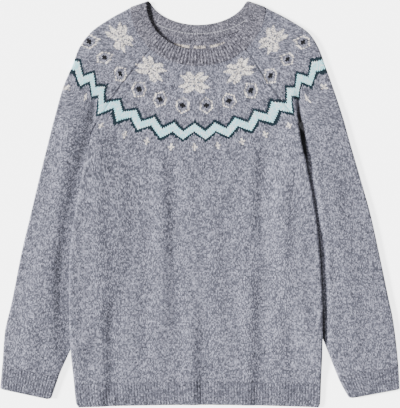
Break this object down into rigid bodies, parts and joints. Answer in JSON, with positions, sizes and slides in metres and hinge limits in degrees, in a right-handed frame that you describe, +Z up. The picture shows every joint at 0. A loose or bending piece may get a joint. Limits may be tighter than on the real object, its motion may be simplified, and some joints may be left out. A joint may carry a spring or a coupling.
{
  "type": "christmas sweater",
  "caption": "Long grey knitted pullover with a round patterned yoke, raglan sleeves, ribbed neckband, cuffs and hem, laid flat.",
  "frame": {"origin": "middle of the laid-out garment, on the surface that it lies on", "axes": "+Z up, out of the surface; +Y from the hem to the neck; +X to the sleeve on the right as it is looked down on"},
  "size_m": [0.6908, 0.7026, 0.0132],
  "materials": {
    "wool_marl": "grey marl wool stocking stitch with a slightly brushed face, and a cream, aqua and teal pattern on the yoke",
    "wool_rib": "grey marl wool in 1x1 rib"
  },
  "bodies": {
    "root": {"front": "wool_marl", "back": "wool_marl", "sleeve_left": "wool_marl", "sleeve_right": "wool_marl", "neckband": "wool_rib", "hem_front": "wool_rib", "hem_back": "wool_rib", "cuff_left": "wool_rib", "cuff_right": "wool_rib"}
  },
  "joints": []
}
